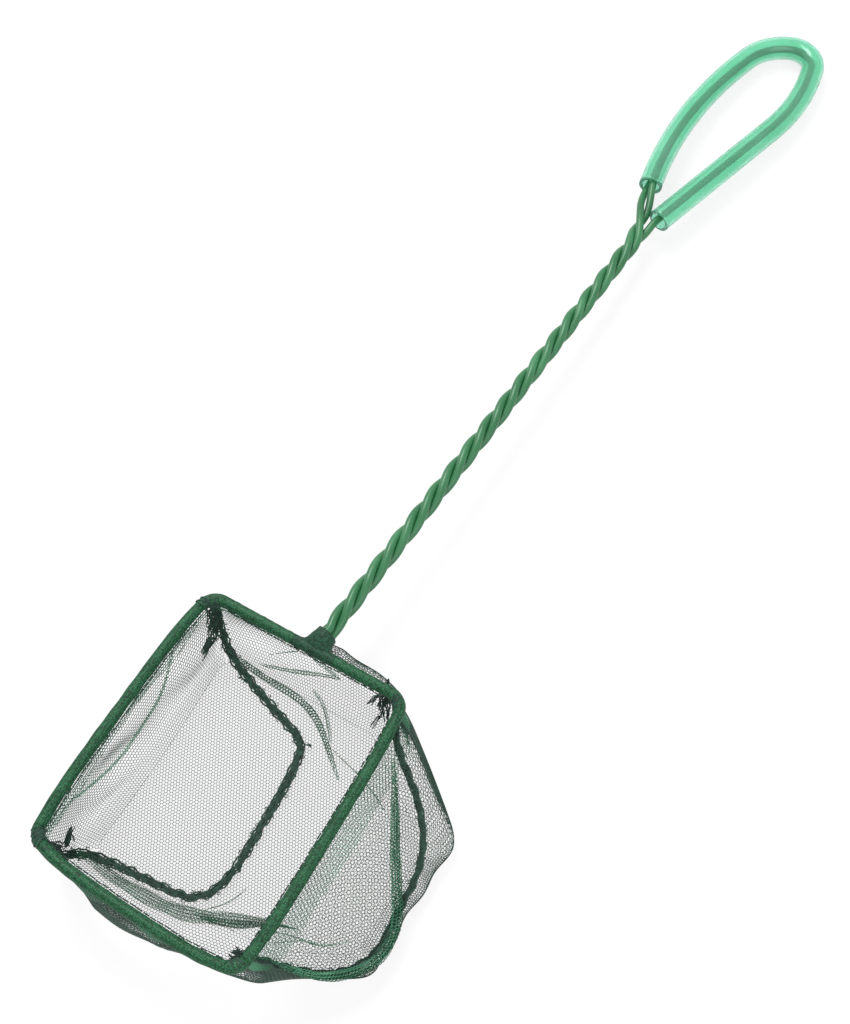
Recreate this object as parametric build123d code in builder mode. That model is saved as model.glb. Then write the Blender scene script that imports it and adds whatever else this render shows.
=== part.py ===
"""Aquarium fish net, lying on a table: square wire hoop, three-strand twisted handle, sleeved grip loop, net bag.

Millimetres, +Z up, z = 0 is the table. The handle runs towards +Y.
The hoop and the handle share one flat plane, the frame plane, which is tilted a little because the bag
holds the hoop up while the grip loop lies on the table.
"""
from build123d import *
from math import cos, log, pi, radians, sin, sqrt, tan
import os

# Wire
wire_diameter = 2.2
core_diameter = 1.6
core_clearance = 0.05

# Hoop: a little wider at the far side, and bent by hand, so its far side is not quite square
hoop_width = 58.4
hoop_length = 75.5
hoop_flare = 0.8
hoop_skew = 0.75
near_corner = 4.2
far_corner = 2.8

# Handle: one wire laid three times, twisted left-handed
root_offset = 2.4
root_spread = 5.5
handle_lean = 4.2
rest_tilt = 3.0
strand_gap = 0.65
pair_gap = 0.5
twist_start = 5.5
twist_end = 162.4
pitch_at_root = 12.5
pitch_at_grip = 25.9
tight_from = 7.0
tight_to = 18.0
steady_from = 23.0
end_under_collar = 4.2

# Grip loop, from the right mouth of its sleeve round to the left mouth
tube_outer = 7.0
tube_bore = 5.2
mouth_s = 167.9
mouth_t = 2.2
leg_heading = 12.2
leg_length = 50.4
shoulder_radius = 59.0
shoulder_turn = 28.4
tip_radius = 7.3
tip_turn = 98.2
top_radius = 16.5
top_turn = 51.7
back_radius = 122.0
back_turn = 29.2
end_in_tube = 15.5
wire_inset = 0.5

# Cloth
hem_outer = 3.0
wrap_outer = 3.8
cloth_clearance = 0.1
collar_half = 6.2
collar_length = 6.6
collar_outer = 6.6
stitch_diameter = 0.5
net_thickness = 0.5
seam_diameter = 2.2
seam_clearance = 0.12

# Bag as it slumps on the table
bag_reach = 28.3
near_bulge = 6.0
far_bulge = 5.2
bag_tuck = 4.2
bag_fold_height = 4.0
bag_shoulder_height = 10.0
bag_corner = 4.0
left_seam_inset = 43.0

half = hoop_width / 2
far_half = half + hoop_flare
strand_radius = (wire_diameter + strand_gap) / sqrt(3)
pair_radius = (wire_diameter + pair_gap) / 2
tilt = radians(rest_tilt)
along = Vector(sin(radians(handle_lean)), cos(radians(handle_lean)), 0)
across = Vector(cos(radians(handle_lean)), -sin(radians(handle_lean)), 0)
root = Vector(root_offset, 0, 0)
grip_arcs = [
    (shoulder_radius, radians(shoulder_turn)),
    (tip_radius, radians(tip_turn)),
    (top_radius, radians(top_turn)),
    (back_radius, radians(back_turn)),
]


def on_handle(s, t, n):
    """Point of the frame plane: s along the handle from the hoop, t to its right, n above the plane."""
    return root + along * s + across * t + Vector(0, 0, n)


def grip_line():
    """Joints of the grip loop's centre line: length so far, s, t, heading, radius of the piece that follows."""
    s, t, heading = mouth_s, mouth_t, radians(leg_heading)
    joints = [(0.0, s, t, heading, 0.0)]
    length = leg_length
    s += leg_length * cos(heading)
    t += leg_length * sin(heading)
    for radius, swing in grip_arcs:
        joints.append((length, s, t, heading, radius))
        centre_s = s + radius * sin(heading)
        centre_t = t - radius * cos(heading)
        heading -= swing
        length += radius * swing
        s = centre_s - radius * sin(heading)
        t = centre_t + radius * cos(heading)
    joints.append((length, s, t, heading, 0.0))
    return joints


grip_joints = grip_line()
grip_length, left_s, left_t, left_heading, _ = grip_joints[-1]


def grip_at(d):
    """s, t and heading at the length d along the grip loop from its right mouth."""
    for joint, following in zip(grip_joints, grip_joints[1:]):
        start, s, t, heading, radius = joint
        if d <= following[0] or following is grip_joints[-1]:
            break
    if radius == 0.0:
        return s + (d - start) * cos(heading), t + (d - start) * sin(heading), heading
    turned = heading - (d - start) / radius
    return (
        s + radius * sin(heading) - radius * sin(turned),
        t - radius * cos(heading) + radius * cos(turned),
        turned,
    )


def in_grip(d, inward, n):
    """Point in the grip loop, moved off its centre line towards the inside of the bend."""
    s, t, heading = grip_at(d)
    return on_handle(s + inward * sin(heading), t - inward * cos(heading), n)


grip_reach = max(grip_at(grip_length * k / 200)[0] for k in range(201))
root_height = tube_outer / 2 + grip_reach * sin(tilt) * cos(radians(handle_lean))
tip_y = max(in_grip(grip_length * k / 200, -tube_outer / 2, 0).Y for k in range(201)) * cos(tilt)
shift_x = -(half + bag_reach - far_half - wrap_outer / 2) / 2
shift_y = (hoop_length + far_bulge - tip_y) / 2
frame = Plane(origin=(shift_x, shift_y, root_height), x_dir=(1, 0, 0), z_dir=(0, sin(tilt), cos(tilt)))


def place(p):
    return frame.from_local_coords(p)


def turn(v):
    return frame.from_local_coords(v) - frame.origin


# Course of the wire. A station is a point and a heading in the frame plane's coordinates.
def ease(x):
    x = min(max(x, 0.0), 1.0)
    return x * x * (3 - 2 * x)


def turns_to(s):
    """Turns of the twist up to s: none inside the collar, tight just above it and steady further on."""
    tight = min(max(s, tight_from), tight_to) - tight_from
    growth = (pitch_at_grip - pitch_at_root) / (steady_from - tight_to)
    easing = min(max(s, tight_to), steady_from) - tight_to
    steady = max(s, steady_from) - steady_from
    return tight / pitch_at_root + log(1 + growth * easing / pitch_at_root) / growth + steady / pitch_at_grip


def twist_angle(s):
    """Turn of the strands at s. The third strand parts to the right, and the pair stops turning in its mouth."""
    slow = twist_end + 6
    still = twist_end + 22
    laid = min(s, slow)
    if s > slow:
        k = min(s, still) - slow
        laid += k - k * k / (2 * (still - slow))
    return radians(120) - 2 * pi * (turns_to(laid) - turns_to(twist_end))


def pair_offset(s, side):
    """Sideways and upward offset of one of the two strands that go round the hoop."""
    parted = ease((s - twist_end + 4) / 12)
    radius = strand_radius + (pair_radius - strand_radius) * parted
    angle = twist_angle(s) + pi + side * radians(60 + 30 * parted)
    return radius * sin(angle), radius * cos(angle)


def pair_axis(s):
    """Sideways place of the pair's axis on its way from the twist to the left mouth."""
    begin = twist_end - 8
    x = max(0.0, (s - begin) / (left_s - begin))
    slope = tan(left_heading) * (left_s - begin)
    return left_t * (3 * x * x - 2 * x ** 3) + slope * (x ** 3 - x * x)


def pair_strand(s, side):
    t, n = pair_offset(s, side)
    if s <= left_s:
        return on_handle(s, pair_axis(s) + t, n)
    return in_grip(grip_length - (s - left_s), t, n)


def third_strand(s):
    angle = twist_angle(s)
    return on_handle(s, strand_radius * sin(angle), strand_radius * cos(angle))


pair_end = left_s + end_in_tube
slide_t, slide_n = pair_offset(pair_end, -1)


def wire_in_grip(d):
    """The wire past the other strand's end slides over to the inside of the bend."""
    x = ease((grip_length - end_in_tube - d) / 45)
    return in_grip(d, slide_t + (wire_inset - slide_t) * x, slide_n * (1 - x))


def station(curve, x, way):
    step = 0.02 * way
    return curve(x), (curve(x + step) - curve(x - step)).normalized()


def spaced(begin, end, step):
    count = max(1, round(abs(end - begin) / step))
    return [begin + (end - begin) * k / count for k in range(count + 1)]


def biarc(p0, t0, p1, t1):
    """Two tangent arcs, or one line, from p0 along t0 to p1 along t1."""
    chord = p1 - p0
    if max(t0.cross(chord).length, t1.cross(chord).length) < 1e-5 * chord.length:
        Line(p0, p1)
        return
    both = t0 + t1
    a = 4 - both.dot(both)
    b = 2 * chord.dot(both)
    c = -chord.dot(chord)
    reach = -c / b if abs(a) < 1e-9 else (sqrt(b * b - 4 * a * c) - b) / (2 * a)
    q0 = p0 + t0 * reach
    q1 = p1 - t1 * reach
    joint = (q0 + q1) * 0.5
    TangentArc(p0, joint, tangent=t0)
    TangentArc(joint, p1, tangent=(q1 - q0).normalized())


def lay(stations):
    for (p0, t0), (p1, t1) in zip(stations, stations[1:]):
        biarc(place(p0), turn(t0), place(p1), turn(t1))




def quarter_turns(begin, end):
    """Stops down a strand, a quarter of a turn apart, and its end in the collar."""
    stops = spaced(begin, steady_from, pitch_at_grip / 4)
    return stops + spaced(steady_from, tight_from, pitch_at_root / 4)[1:] + [end]


pair_stops = quarter_turns(pair_end, twist_start)
strand_down = [station(lambda s: pair_strand(s, 1), s, -1) for s in pair_stops]
strand_up = [station(lambda s: pair_strand(s, -1), s, 1) for s in reversed(pair_stops)]
strand_back = [station(third_strand, s, -1) for s in quarter_turns(twist_end, end_under_collar)]

hoop_left = (Vector(root_offset - root_spread, 0, 0), Vector(-1, 0, 0))
hoop_right = (Vector(root_offset + root_spread, 0, 0), Vector(-1, 0, 0))
corners = [
    Vector(-half, 0, 0),
    Vector(-far_half, hoop_skew - hoop_length, 0),
    Vector(far_half, -hoop_skew - hoop_length, 0),
    Vector(half, 0, 0),
]
corner_radii = [near_corner, far_corner, far_corner, near_corner]
bends = []
for k, corner in enumerate(corners):
    before = (corner - corners[k - 1]).normalized()
    after = (corners[(k + 1) % 4] - corner).normalized()
    back = corner_radii[k] * tan(radians(before.get_angle(after)) / 2)
    bends.append((corner - before * back, before, corner + after * back, after))
hoop = [hoop_left]
for begin, before, end, after in bends:
    hoop.append((begin, before))
    hoop.append((end, after))
hoop.append(hoop_right)

grip_stops = [grip_length - end_in_tube]
for joint in reversed(grip_joints[:-1]):
    grip_stops += spaced(grip_stops[-1], joint[0], 9.0)[1:]
strand_round = [station(wire_in_grip, d, -1) for d in grip_stops]

with BuildLine() as wire_path:
    lay(strand_down + hoop + strand_up + strand_round[1:] + strand_back)
wire_line = wire_path.wire()

samples = [(p.X, p.Y, p.Z) for p in (wire_line @ (k / 2400) for k in range(2401))]
step_length = wire_line.length / 2400
apart = int(6.0 / step_length)
least = wire_diameter * 9
for i in range(0, 2401, 2):
    x, y, z = samples[i]
    for u, v, w in samples[i + apart:]:
        if abs(x - u) < 3 and abs(y - v) < 3:
            least = min(least, sqrt((x - u) ** 2 + (y - v) ** 2 + (z - w) ** 2))
print("least gap between strands", round(least - wire_diameter, 3))
assert least > wire_diameter + 0.05


def wire_sweep(diameter):
    with BuildPart() as swept:
        with BuildSketch(Plane(origin=wire_line @ 0, z_dir=wire_line % 0)):
            Circle(diameter / 2)
        sweep(path=wire_line)
    return swept.part


os.makedirs("parts", exist_ok=True)

with BuildPart() as wire_core:
    add(wire_sweep(core_diameter))
wire_core.part.label = "wire_core"
export_step(wire_core.part, "parts/wire_core.step")

# The coat is closed from its outside, its bore and a ring at each cut end of the wire
coat_outside = wire_sweep(wire_diameter)
coat_bore = wire_sweep(core_diameter + 2 * core_clearance)
coat_rings = [
    Face(outside.outer_wire(), [bore.outer_wire()])
    for outside, bore in zip(
        coat_outside.faces().filter_by(GeomType.PLANE), coat_bore.faces().filter_by(GeomType.PLANE)
    )
]
coat_sides = [
    face for skin in (coat_outside, coat_bore) for face in skin.faces() if face.geom_type != GeomType.PLANE
]
with BuildPart() as wire_coating:
    add(Solid(Shell(coat_sides + coat_rings)))
wire_coating.part.label = "wire_coating"
export_step(wire_coating.part, "parts/wire_coating.step")

# Clear sleeve on the grip loop
grip_centres = [
    (in_grip(d, 0, 0), along * cos(heading) + across * sin(heading))
    for d, s, t, heading, radius in grip_joints
]
with BuildLine() as grip_path:
    for (p0, t0), (p1, t1) in zip(grip_centres, grip_centres[1:]):
        if p0 is grip_centres[0][0]:
            Line(place(p0), place(p1))
        else:
            TangentArc(place(p0), place(p1), tangent=turn(t0))
grip_wire = grip_path.wire()
with BuildPart() as grip_tube:
    with BuildSketch(Plane(origin=grip_wire @ 0, z_dir=grip_wire % 0)):
        Circle(tube_outer / 2)
    sweep(path=grip_wire)
    with BuildSketch(Plane(origin=grip_wire @ 0, z_dir=grip_wire % 0)):
        Circle(tube_bore / 2)
    sweep(path=grip_wire, mode=Mode.SUBTRACT)
grip_tube.part.label = "grip_tube"
export_step(grip_tube.part, "parts/grip_tube.step")


# Casings folded round the hoop wire
def casing(name, begin, end, outer):
    line = Wire([Edge.make_line(place(begin), place(end))])
    with BuildPart() as sleeve:
        with BuildSketch(Plane(origin=line @ 0, z_dir=line % 0)):
            Circle(outer / 2)
            Circle(wire_diameter / 2 + cloth_clearance, mode=Mode.SUBTRACT)
        sweep(path=line)
    sleeve.part.label = name
    export_step(sleeve.part, f"parts/{name}.step")
    spare = (end - begin).normalized() * (3 * cloth_clearance)
    longer = Wire([Edge.make_line(place(begin - spare), place(end + spare))])
    with BuildPart() as room:
        with BuildSketch(Plane(origin=longer @ 0, z_dir=longer % 0)):
            Circle(outer / 2 + cloth_clearance)
        sweep(path=longer)
    return room.part


collar_left = Vector(root_offset - collar_half - cloth_clearance, 0, 0)
collar_right = Vector(root_offset + collar_half + cloth_clearance, 0, 0)


def side(k):
    """Ends of the straight side after corner k, and its direction, clear of the corner bundles."""
    begin = bends[k][2] + bends[k][3] * cloth_clearance
    end = bends[(k + 1) % 4][0] - bends[k][3] * cloth_clearance
    return begin, end, bends[k][3]


hem_rooms = [
    casing("hem_left", side(0)[0], side(0)[1], hem_outer),
    casing("hem_far", side(1)[0], side(1)[1], hem_outer),
    casing("hem_right", side(2)[0], side(2)[1], hem_outer),
    casing("hem_handle_left", collar_left, side(3)[1], hem_outer),
    casing("hem_handle_right", side(3)[0], collar_right, hem_outer),
]

# Thread bundles at the hoop's corners
corner_names = ["handle_left", "far_left", "far_right", "handle_right"]
corner_tubes = []
for corner_name, (begin, before, end, after) in zip(corner_names, bends):
    bend = Wire([Edge.make_tangent_arc(place(begin), turn(before), place(end))])
    name = f"corner_wrap_{corner_name}"
    with BuildPart() as corner_wrap:
        with BuildSketch(Plane(origin=bend @ 0, z_dir=bend % 0)):
            Circle(wrap_outer / 2)
            Circle(wire_diameter / 2 + cloth_clearance, mode=Mode.SUBTRACT)
        sweep(path=bend)
    corner_wrap.part.label = name
    export_step(corner_wrap.part, f"parts/{name}.step")
    with BuildPart() as corner_room:
        with BuildSketch(Plane(origin=bend @ 0, z_dir=bend % 0)):
            Circle(wrap_outer / 2 + cloth_clearance)
        sweep(path=bend)
    corner_tubes.append(corner_room.part)

# Lockstitch lines inside the casings
stitch_side = hem_outer / 2 + cloth_clearance + stitch_diameter / 2
stitch_in = stitch_side * cos(radians(20))
stitch_down = stitch_side * sin(radians(20))


def stitch(name, k):
    begin, end, way = side(k)
    inward = Vector(-way.Y, way.X, 0) * stitch_in - Vector(0, 0, stitch_down)
    line = Wire([Edge.make_line(place(begin + way * stitch_in + inward), place(end - way * stitch_in + inward))])
    with BuildPart() as thread:
        with BuildSketch(Plane(origin=line @ 0, z_dir=line % 0)):
            Circle(stitch_diameter / 2)
        sweep(path=line)
    thread.part.label = name
    export_step(thread.part, f"parts/{name}.step")


stitch("hem_stitch_left", 0)
stitch("hem_stitch_far", 1)
stitch("hem_stitch_right", 2)
stitch("hem_stitch_handle", 3)

# Cloth drawn up the root of the handle
collar_start = Vector(root_offset - collar_half, 0, 0)
collar_stop = Vector(root_offset + collar_half, 0, 0)


def handle_plane(s):
    p = on_handle(s, 0, 0)
    return Plane(origin=place(p), x_dir=turn(across), z_dir=turn(along))


def channel(stations):
    with BuildLine() as run:
        lay(stations)
    line = run.wire()
    with BuildPart() as room:
        with BuildSketch(Plane(origin=line @ 0, z_dir=line % 0)):
            Circle(wire_diameter / 2 + cloth_clearance)
        sweep(path=line)
    return room.part


far_left_station = (collar_start - Vector(2, 0, 0), Vector(-1, 0, 0))
far_right_station = (collar_stop + Vector(2, 0, 0), Vector(-1, 0, 0))
with BuildPart() as collar_cut:
    collar_line = Wire([Edge.make_line(place(collar_start), place(collar_stop))])
    with BuildSketch(Plane(origin=collar_line @ 0, z_dir=collar_line % 0)):
        Circle(hem_outer / 2)
    sweep(path=collar_line)
    with BuildSketch(handle_plane(-hem_outer / 6)):
        Ellipse(root_spread + 0.1, hem_outer * 0.37)
    with BuildSketch(handle_plane(collar_length / 3)):
        Ellipse(root_spread * 0.86, collar_outer * 0.38)
    with BuildSketch(handle_plane(collar_length * 2 / 3)):
        Ellipse(collar_outer * 0.57, collar_outer * 0.48)
    with BuildSketch(handle_plane(collar_length)):
        Ellipse(collar_outer * 0.5, collar_outer * 0.499)
    loft()
    with BuildSketch(handle_plane(end_under_collar - 5 * cloth_clearance)):
        Circle(strand_radius + wire_diameter / 2 + 2 * cloth_clearance)
    extrude(amount=collar_length, mode=Mode.SUBTRACT)
    add(channel([strand_down[-1], hoop_left, far_left_station]), mode=Mode.SUBTRACT)
    add(channel([far_right_station, hoop_right, strand_up[0]]), mode=Mode.SUBTRACT)
with BuildPart() as handle_collar:
    add(collar_cut.part.solids().sort_by(SortBy.VOLUME)[-1])
handle_collar.part.label = "handle_collar"
export_step(handle_collar.part, "parts/handle_collar.step")

# Bag: outlines at the table, at the fold, at the shoulder and under the casings
reach = half + bag_reach
floor_outline = [
    (bag_tuck - half, -6.5),
    (half * 0.17, -4.0),
    (half * 0.82, -4.0),
    (reach * 0.93, -hoop_length * 0.33),
    (reach * 0.91, -hoop_length * 0.78),
    (half + 3.8, 5.5 - hoop_length),
    (half * 0.27, 2.5 - hoop_length),
    (-half * 0.34, 2.5 - hoop_length),
    (bag_tuck - far_half - 0.2, 4.0 - hoop_length),
]
fold_outline = [
    (1.7 - half, -3.0),
    (half * 0.2, near_bulge * 0.5),
    (half * 0.89, near_bulge * 0.33),
    (reach, -hoop_length * 0.31),
    (reach - 0.5, -hoop_length * 0.79),
    (half + 4.8, 1.0 - hoop_length),
    (half * 0.34, -far_bulge - hoop_length),
    (-half * 0.41, -far_bulge - hoop_length),
    (1.5 - far_half, 0.5 - hoop_length),
]
shoulder_outline = [
    (0.4 - half, -1.0),
    (half * 0.24, near_bulge),
    (half * 0.86, near_bulge * 0.75),
    (half + bag_reach * 0.55, -hoop_length * 0.17),
    (half + bag_reach * 0.58, -hoop_length * 0.89),
    (far_half + 1.5, -hoop_length),
    (half * 0.27, 0.6 - far_bulge - hoop_length),
    (-half * 0.41, 0.3 - far_bulge - hoop_length),
    (0.2 - far_half, 0.2 - hoop_length),
]
mouth_outline = [
    (-half - 0.3, 0.0),
    (half * 0.17, 0.2),
    (half * 0.84, 0.2),
    (half + 0.3, -5.0),
    (far_half + 0.2, 3.5 - hoop_length),
    (far_half - 3.0, -hoop_skew - 0.6 - hoop_length),
    (half * 0.31, -1.5 - hoop_length),
    (-half * 0.34, -1.2 - hoop_length),
    (-far_half - 0.2, hoop_skew - 0.3 - hoop_length),
]
mouth_drop = hem_outer / 2 + cloth_clearance
mouth_plane = frame.offset(-mouth_drop)


def level(z):
    return Plane(origin=(shift_x, shift_y, z))


def bag_form(inset, lower, floor):
    """Solid with the bag's shape, its walls drawn in by the inset."""
    sections = [
        (floor_outline, level(floor)),
        (fold_outline, level(bag_fold_height)),
        (shoulder_outline, level(bag_shoulder_height - lower)),
        (mouth_outline, mouth_plane.offset(inset)),
    ]
    with BuildPart() as form:
        for outline, plane in sections:
            with BuildSketch(plane) as section:
                Polygon(*outline, align=None)
                if inset:
                    offset(amount=-inset, kind=Kind.INTERSECTION)
                fillet(section.vertices(), bag_corner - inset)
        loft(ruled=True)
    return form.part


bag_outside = bag_form(0, 0, 0)
bag_inside = bag_form(net_thickness, net_thickness * 0.7, net_thickness)


def bend_point(outline, index, plane):
    """Middle of a rounded corner of an outline."""
    a = Vector(*outline[index - 1])
    b = Vector(*outline[index])
    c = Vector(*outline[(index + 1) % len(outline)])
    u = (a - b).normalized()
    v = (c - b).normalized()
    bisector = (u + v).normalized()
    opening = sqrt((1 - u.dot(v)) / 2)
    return plane.from_local_coords(b + bisector * (bag_corner / opening - bag_corner))


def on_bag(x, y):
    """Point of the bag's upper surface over a place on the table."""
    ray = Axis((x + shift_x, y + shift_y, 60), (0, 0, -1))
    hits = [hit[0] for hit in bag_outside.find_intersection_points(ray)]
    return max(hits, key=lambda p: p.Z)


def on_floor(x, y):
    return Vector(x + shift_x, y + shift_y, seam_diameter / 2)


def raised(p, z):
    return Vector(p.X, p.Y, max(p.Z, z))


seam_low = seam_diameter / 2
left_x = left_seam_inset - half
left_seam_points = [
    bend_point(mouth_outline, 0, mouth_plane),
    bend_point(shoulder_outline, 0, level(bag_shoulder_height)),
    bend_point(fold_outline, 0, level(bag_fold_height)),
    raised(bend_point(floor_outline, 0, level(0)), seam_low),
    on_floor(left_x - 4.3, -hoop_length * 0.257),
    on_floor(left_x, -hoop_length * 0.56),
    on_floor(left_x - 4.7, -hoop_length * 0.867),
    on_floor(left_x - 18.8, -hoop_length * 0.92),
    raised(bend_point(floor_outline, 8, level(0)), seam_low),
    bend_point(fold_outline, 8, level(bag_fold_height)),
    bend_point(shoulder_outline, 8, level(bag_shoulder_height)),
    bend_point(mouth_outline, 8, mouth_plane),
]
right_plan = [
    (half + bag_reach * 0.15, -hoop_length * 0.127),
    (half + bag_reach * 0.6, -hoop_length * 0.26),
    (half + bag_reach * 0.83, -hoop_length * 0.413),
    (half + bag_reach * 0.85, -hoop_length * 0.6),
    (half + bag_reach * 0.86, -hoop_length * 0.74),
    (half + bag_reach * 0.67, -hoop_length * 0.86),
    (half + bag_reach * 0.33, -hoop_length * 0.92),
]
right_seam_points = [bend_point(mouth_outline, 3, mouth_plane)]
right_seam_points += [on_bag(x, y) for x, y in right_plan]
right_seam_points += [bend_point(mouth_outline, 4, mouth_plane)]


def bead(points, diameter):
    with BuildLine() as run:
        FilletPolyline(*points, radius=2.4)
    line = run.wire()
    with BuildPart() as rope:
        with BuildSketch(Plane(origin=line @ 0, z_dir=line % 0)):
            Circle(diameter / 2)
        sweep(path=line)
    return rope.part


def side_room(points, closing, bottom):
    """Prism over an end panel's place, bounded by the seam's plan."""
    with BuildPart() as room:
        with BuildSketch(Plane.XY.offset(bottom)):
            Polygon(*[(p.X, p.Y) for p in points], *closing, align=None)
        extrude(amount=60)
    return room.part


left_corner_far = (left_seam_points[-1].X - 9, left_seam_points[-1].Y - 9)
left_corner_near = (left_seam_points[0].X - 9, left_seam_points[0].Y + 9)
left_room = side_room(left_seam_points, [left_corner_far, left_corner_near], -1)
inner_x = half - 8 + shift_x
right_closing = [(inner_x, right_seam_points[-1].Y), (inner_x, right_seam_points[0].Y)]
right_room = side_room(right_seam_points, right_closing, bag_fold_height * 0.75)

left_channel = bead(left_seam_points, seam_diameter + 2 * seam_clearance)
right_channel = bead(right_seam_points, seam_diameter + 2 * seam_clearance)

with BuildPart() as left_overlock_seam:
    add(bead(left_seam_points, seam_diameter))
    for room in corner_tubes + hem_rooms:
        add(room, mode=Mode.SUBTRACT)
left_overlock_seam.part.label = "left_overlock_seam"
export_step(left_overlock_seam.part, "parts/left_overlock_seam.step")

with BuildPart() as right_overlock_seam:
    add(bead(right_seam_points, seam_diameter))
    for room in corner_tubes + hem_rooms:
        add(room, mode=Mode.SUBTRACT)
right_overlock_seam.part.label = "right_overlock_seam"
export_step(right_overlock_seam.part, "parts/right_overlock_seam.step")

with BuildPart() as bag:
    add(bag_outside)
    add(bag_inside, mode=Mode.SUBTRACT)
    for room in corner_tubes:
        add(room, mode=Mode.SUBTRACT)
    add(left_channel, mode=Mode.SUBTRACT)
    add(right_channel, mode=Mode.SUBTRACT)

with BuildPart() as left_share:
    add(bag.part)
    add(left_room, mode=Mode.INTERSECT)
with BuildPart() as right_share:
    add(bag.part)
    add(right_room, mode=Mode.INTERSECT)
with BuildPart() as main_share:
    add(bag.part)
    add(left_room, mode=Mode.SUBTRACT)
    add(right_room, mode=Mode.SUBTRACT)

# Each panel is the one large piece of its share, without the crumbs at the seams
with BuildPart() as left_net_panel:
    add(left_share.part.solids().sort_by(SortBy.VOLUME)[-1])
left_net_panel.part.label = "left_net_panel"
export_step(left_net_panel.part, "parts/left_net_panel.step")

with BuildPart() as right_net_panel:
    add(right_share.part.solids().sort_by(SortBy.VOLUME)[-1])
right_net_panel.part.label = "right_net_panel"
export_step(right_net_panel.part, "parts/right_net_panel.step")

with BuildPart() as main_net_panel:
    add(main_share.part.solids().sort_by(SortBy.VOLUME)[-1])
main_net_panel.part.label = "main_net_panel"
export_step(main_net_panel.part, "parts/main_net_panel.step")
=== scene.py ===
import bpy
import math
import numpy as np
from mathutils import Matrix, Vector
from mathutils.bvhtree import BVHTree


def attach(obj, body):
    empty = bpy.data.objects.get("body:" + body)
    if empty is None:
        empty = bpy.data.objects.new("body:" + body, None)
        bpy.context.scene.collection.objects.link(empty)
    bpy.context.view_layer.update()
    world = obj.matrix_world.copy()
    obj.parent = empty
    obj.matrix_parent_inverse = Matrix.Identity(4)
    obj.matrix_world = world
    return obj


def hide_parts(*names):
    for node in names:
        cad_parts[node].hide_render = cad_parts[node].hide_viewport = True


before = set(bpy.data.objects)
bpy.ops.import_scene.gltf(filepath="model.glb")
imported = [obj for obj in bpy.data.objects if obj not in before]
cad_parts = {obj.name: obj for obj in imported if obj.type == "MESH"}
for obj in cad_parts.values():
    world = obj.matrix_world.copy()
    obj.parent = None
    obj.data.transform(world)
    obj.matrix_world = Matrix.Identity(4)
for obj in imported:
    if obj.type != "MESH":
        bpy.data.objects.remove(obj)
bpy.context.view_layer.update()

# Sizes in millimetres, as in the CAD
MM = 0.001
SHIFT = np.array([-12.8, -86.3978, 0.0])
ROOT_Z = 16.6194
TILT = math.radians(3.0)
LEAN = math.radians(4.2)
WIRE_R = 1.1
CORE_R = 0.8
HALF = 29.2
FAR_HALF = 30.0
LENGTH = 75.5
SKEW = 0.75
CORNERS = [(-HALF, 0.0), (-FAR_HALF, SKEW - LENGTH), (FAR_HALF, -SKEW - LENGTH), (HALF, 0.0)]
CORNER_R = [4.2, 2.8, 2.8, 4.2]
ROOT_U = 2.4
SPREAD = 5.5
TWIST_START = 5.5
TWIST_END = 162.4
PITCH = 25.9
PAIR_GAP = 0.5
PAIR_R = (2 * WIRE_R + PAIR_GAP) / 2
END_UNDER_COLLAR = 4.2
END_IN_TUBE = 15.5
INSET = 0.5
MOUTH_S = 167.9
MOUTH_T = 2.2
LEG_HEADING = math.radians(12.2)
LEG_LENGTH = 50.4
GRIP_ARCS = [(59.0, 28.4), (7.3, 98.2), (16.5, 51.7), (122.0, 29.2)]
TUBE_R = 3.5
BORE_R = 2.6
HEM_R = 1.5
COLLAR_HALF = 6.2
REACH = 28.3
NEAR_BULGE = 6.0
FAR_BULGE = 5.2
TUCK = 4.2
FLOOR_Z, FOLD_Z, SHOULDER_Z = 0.2, 4.0, 10.0

# Sizes that follow the photograph where the CAD is plainer
STRAND_R = 1.36
HANDLE_WIRE_R = 1.17
LAY_FROM = 7.0
CASING_R = 1.52
BOW_LEFT, BOW_RIGHT, BOW_FAR = 2.0, 1.5, 2.4

# Where the handle's strands part: degrees round the handle and lengths before or after the twist's end
TWIST_PHASE = 120
PAIR_ANGLE, PARTING_ANGLE = 60, 30
PART_BEFORE, PART_OVER = 4, 12
SLOW_AFTER, STILL_AFTER = 6, 22
LEAVE_BEFORE = 8

# Lengths over which the wire settles in the tube, thickens above the collar and thins below the grip
SETTLE_OVER = 45
THICK_FROM, THICK_OVER, THIN_OVER = 6, 4, 6

# Points and steps along the wire, pull of its links, and sides of the round pieces
PAIR_STEPS, THIRD_STEPS, ROUND_STEPS, LINK_STEPS, BEND_STEPS = 420, 380, 190, 14, 13
HOOP_STEP = 0.8
LINK_PULL = 1.1
SLEEVE_STEPS, CASING_STEPS, WRAP_STEPS = 260, 140, 24
WIRE_SIDES, CORE_SIDES, SLEEVE_SIDES, HEM_SIDES, COLLAR_SIDES, THREAD_SIDES = 16, 10, 40, 28, 96, 4

ALONG = np.array([math.sin(LEAN), math.cos(LEAN), 0.0])
ACROSS = np.array([math.cos(LEAN), -math.sin(LEAN), 0.0])
UP = np.array([0.0, 0.0, 1.0])
rng = np.random.default_rng(11)


def unit(v):
    v = np.asarray(v, float)
    return v / np.maximum(np.linalg.norm(v, axis=-1, keepdims=True), 1e-12)


def bowed(u, v):
    """The sides of the hoop bow outwards a little between their corners."""
    x = np.clip((u + HALF) / (2 * HALF), 0, 1)
    y = np.clip(-v / LENGTH, 0, 1)
    lengthwise = 1 - (2 * y - 1) ** 4
    crosswise = 1 - (2 * x - 1) ** 4
    out_left = BOW_LEFT * lengthwise * np.clip(-u / HALF, 0, 1) ** 2
    out_right = BOW_RIGHT * lengthwise * np.clip(u / HALF, 0, 1) ** 2
    return u - out_left + out_right, v - BOW_FAR * crosswise * y ** 4


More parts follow.
